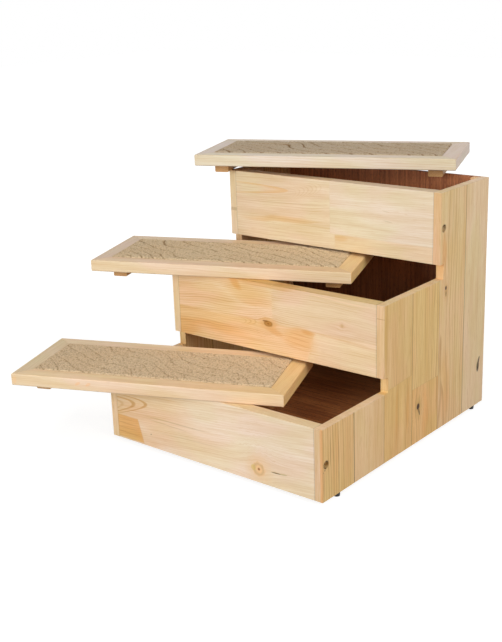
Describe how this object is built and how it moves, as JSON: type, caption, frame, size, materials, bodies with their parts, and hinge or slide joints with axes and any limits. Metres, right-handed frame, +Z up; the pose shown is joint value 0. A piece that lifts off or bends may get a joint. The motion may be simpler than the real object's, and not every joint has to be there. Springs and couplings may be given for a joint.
{
  "type": "pet stairs",
  "caption": "Pine pet stairs with a hollow storage body, step fronts and loose carpeted treads lying turned on their rims.",
  "frame": {"origin": "on the floor, in the middle of the whole footprint with the treads as they lie", "axes": "+Z up, +Y from the lowest step's front to the back, +X to the right seen from the front"},
  "size_m": [0.5306, 0.648, 0.392],
  "materials": {
    "side_pine": "clear satin lacquer on glued pine staves",
    "front_pine": "clear satin lacquer on pine board",
    "rail_pine": "clear satin lacquer on pine rail",
    "cleat_pine": "planed pine",
    "batten_pine": "planed pine",
    "plywood": "dark reddish plywood, unfinished",
    "dowel_beech": "fluted beech dowel",
    "carpet": "beige loop carpet with wavy ribs",
    "glide_plastic": "black moulded plastic",
    "dark_steel": "dark zinc",
    "bright_steel": "bright zinc"
  },
  "bodies": {
    "stairs_body": {"left_stave_1": "side_pine", "left_stave_2": "side_pine", "left_stave_3": "side_pine", "left_stave_4": "side_pine", "left_stave_5": "side_pine", "left_stave_6": "side_pine", "right_stave_1": "side_pine", "right_stave_2": "side_pine", "right_stave_3": "side_pine", "right_stave_4": "side_pine", "right_stave_5": "side_pine", "right_stave_6": "side_pine", "bottom_riser": "front_pine", "middle_riser": "front_pine", "top_riser": "front_pine", "floor_panel": "plywood", "back_panel": "plywood", "riser_screws": "dark_steel", "riser_dowels": "dowel_beech", "back_nails": "bright_steel", "left_floor_batten": "batten_pine", "left_corner_batten": "batten_pine", "right_floor_batten": "batten_pine", "right_corner_batten": "batten_pine", "front_left_glide": "glide_plastic", "rear_left_glide": "glide_plastic", "front_right_glide": "glide_plastic", "rear_right_glide": "glide_plastic"},
    "bottom_tread": {"bottom_tread_base": "plywood", "bottom_tread_front_rail": "rail_pine", "bottom_tread_back_rail": "rail_pine", "bottom_tread_left_rail": "rail_pine", "bottom_tread_right_rail": "rail_pine", "bottom_tread_carpet": "carpet", "bottom_tread_left_cleat": "cleat_pine", "bottom_tread_right_cleat": "cleat_pine", "bottom_tread_cleat_screws": "bright_steel"},
    "middle_tread": {"middle_tread_base": "plywood", "middle_tread_front_rail": "rail_pine", "middle_tread_back_rail": "rail_pine", "middle_tread_left_rail": "rail_pine", "middle_tread_right_rail": "rail_pine", "middle_tread_carpet": "carpet", "middle_tread_left_cleat": "cleat_pine", "middle_tread_right_cleat": "cleat_pine", "middle_tread_cleat_screws": "bright_steel"},
    "top_tread": {"top_tread_base": "plywood", "top_tread_front_rail": "rail_pine", "top_tread_back_rail": "rail_pine", "top_tread_left_rail": "rail_pine", "top_tread_right_rail": "rail_pine", "top_tread_carpet": "carpet", "top_tread_left_cleat": "cleat_pine", "top_tread_right_cleat": "cleat_pine", "top_tread_cleat_screws": "bright_steel"}
  },
  "joints": [
    {"name": "bottom_tread_slide", "type": "slide", "parent": "stairs_body", "child": "bottom_tread", "axis": [1, 0, 0], "range_m": [-0.069, 0.074]},
    {"name": "middle_tread_slide", "type": "slide", "parent": "stairs_body", "child": "middle_tread", "axis": [1, 0, 0], "range_m": [-0.059, 0.071]},
    {"name": "top_tread_lift", "type": "slide", "parent": "stairs_body", "child": "top_tread", "axis": [0, 0, 1], "range_m": [0, 0.25]}
  ]
}
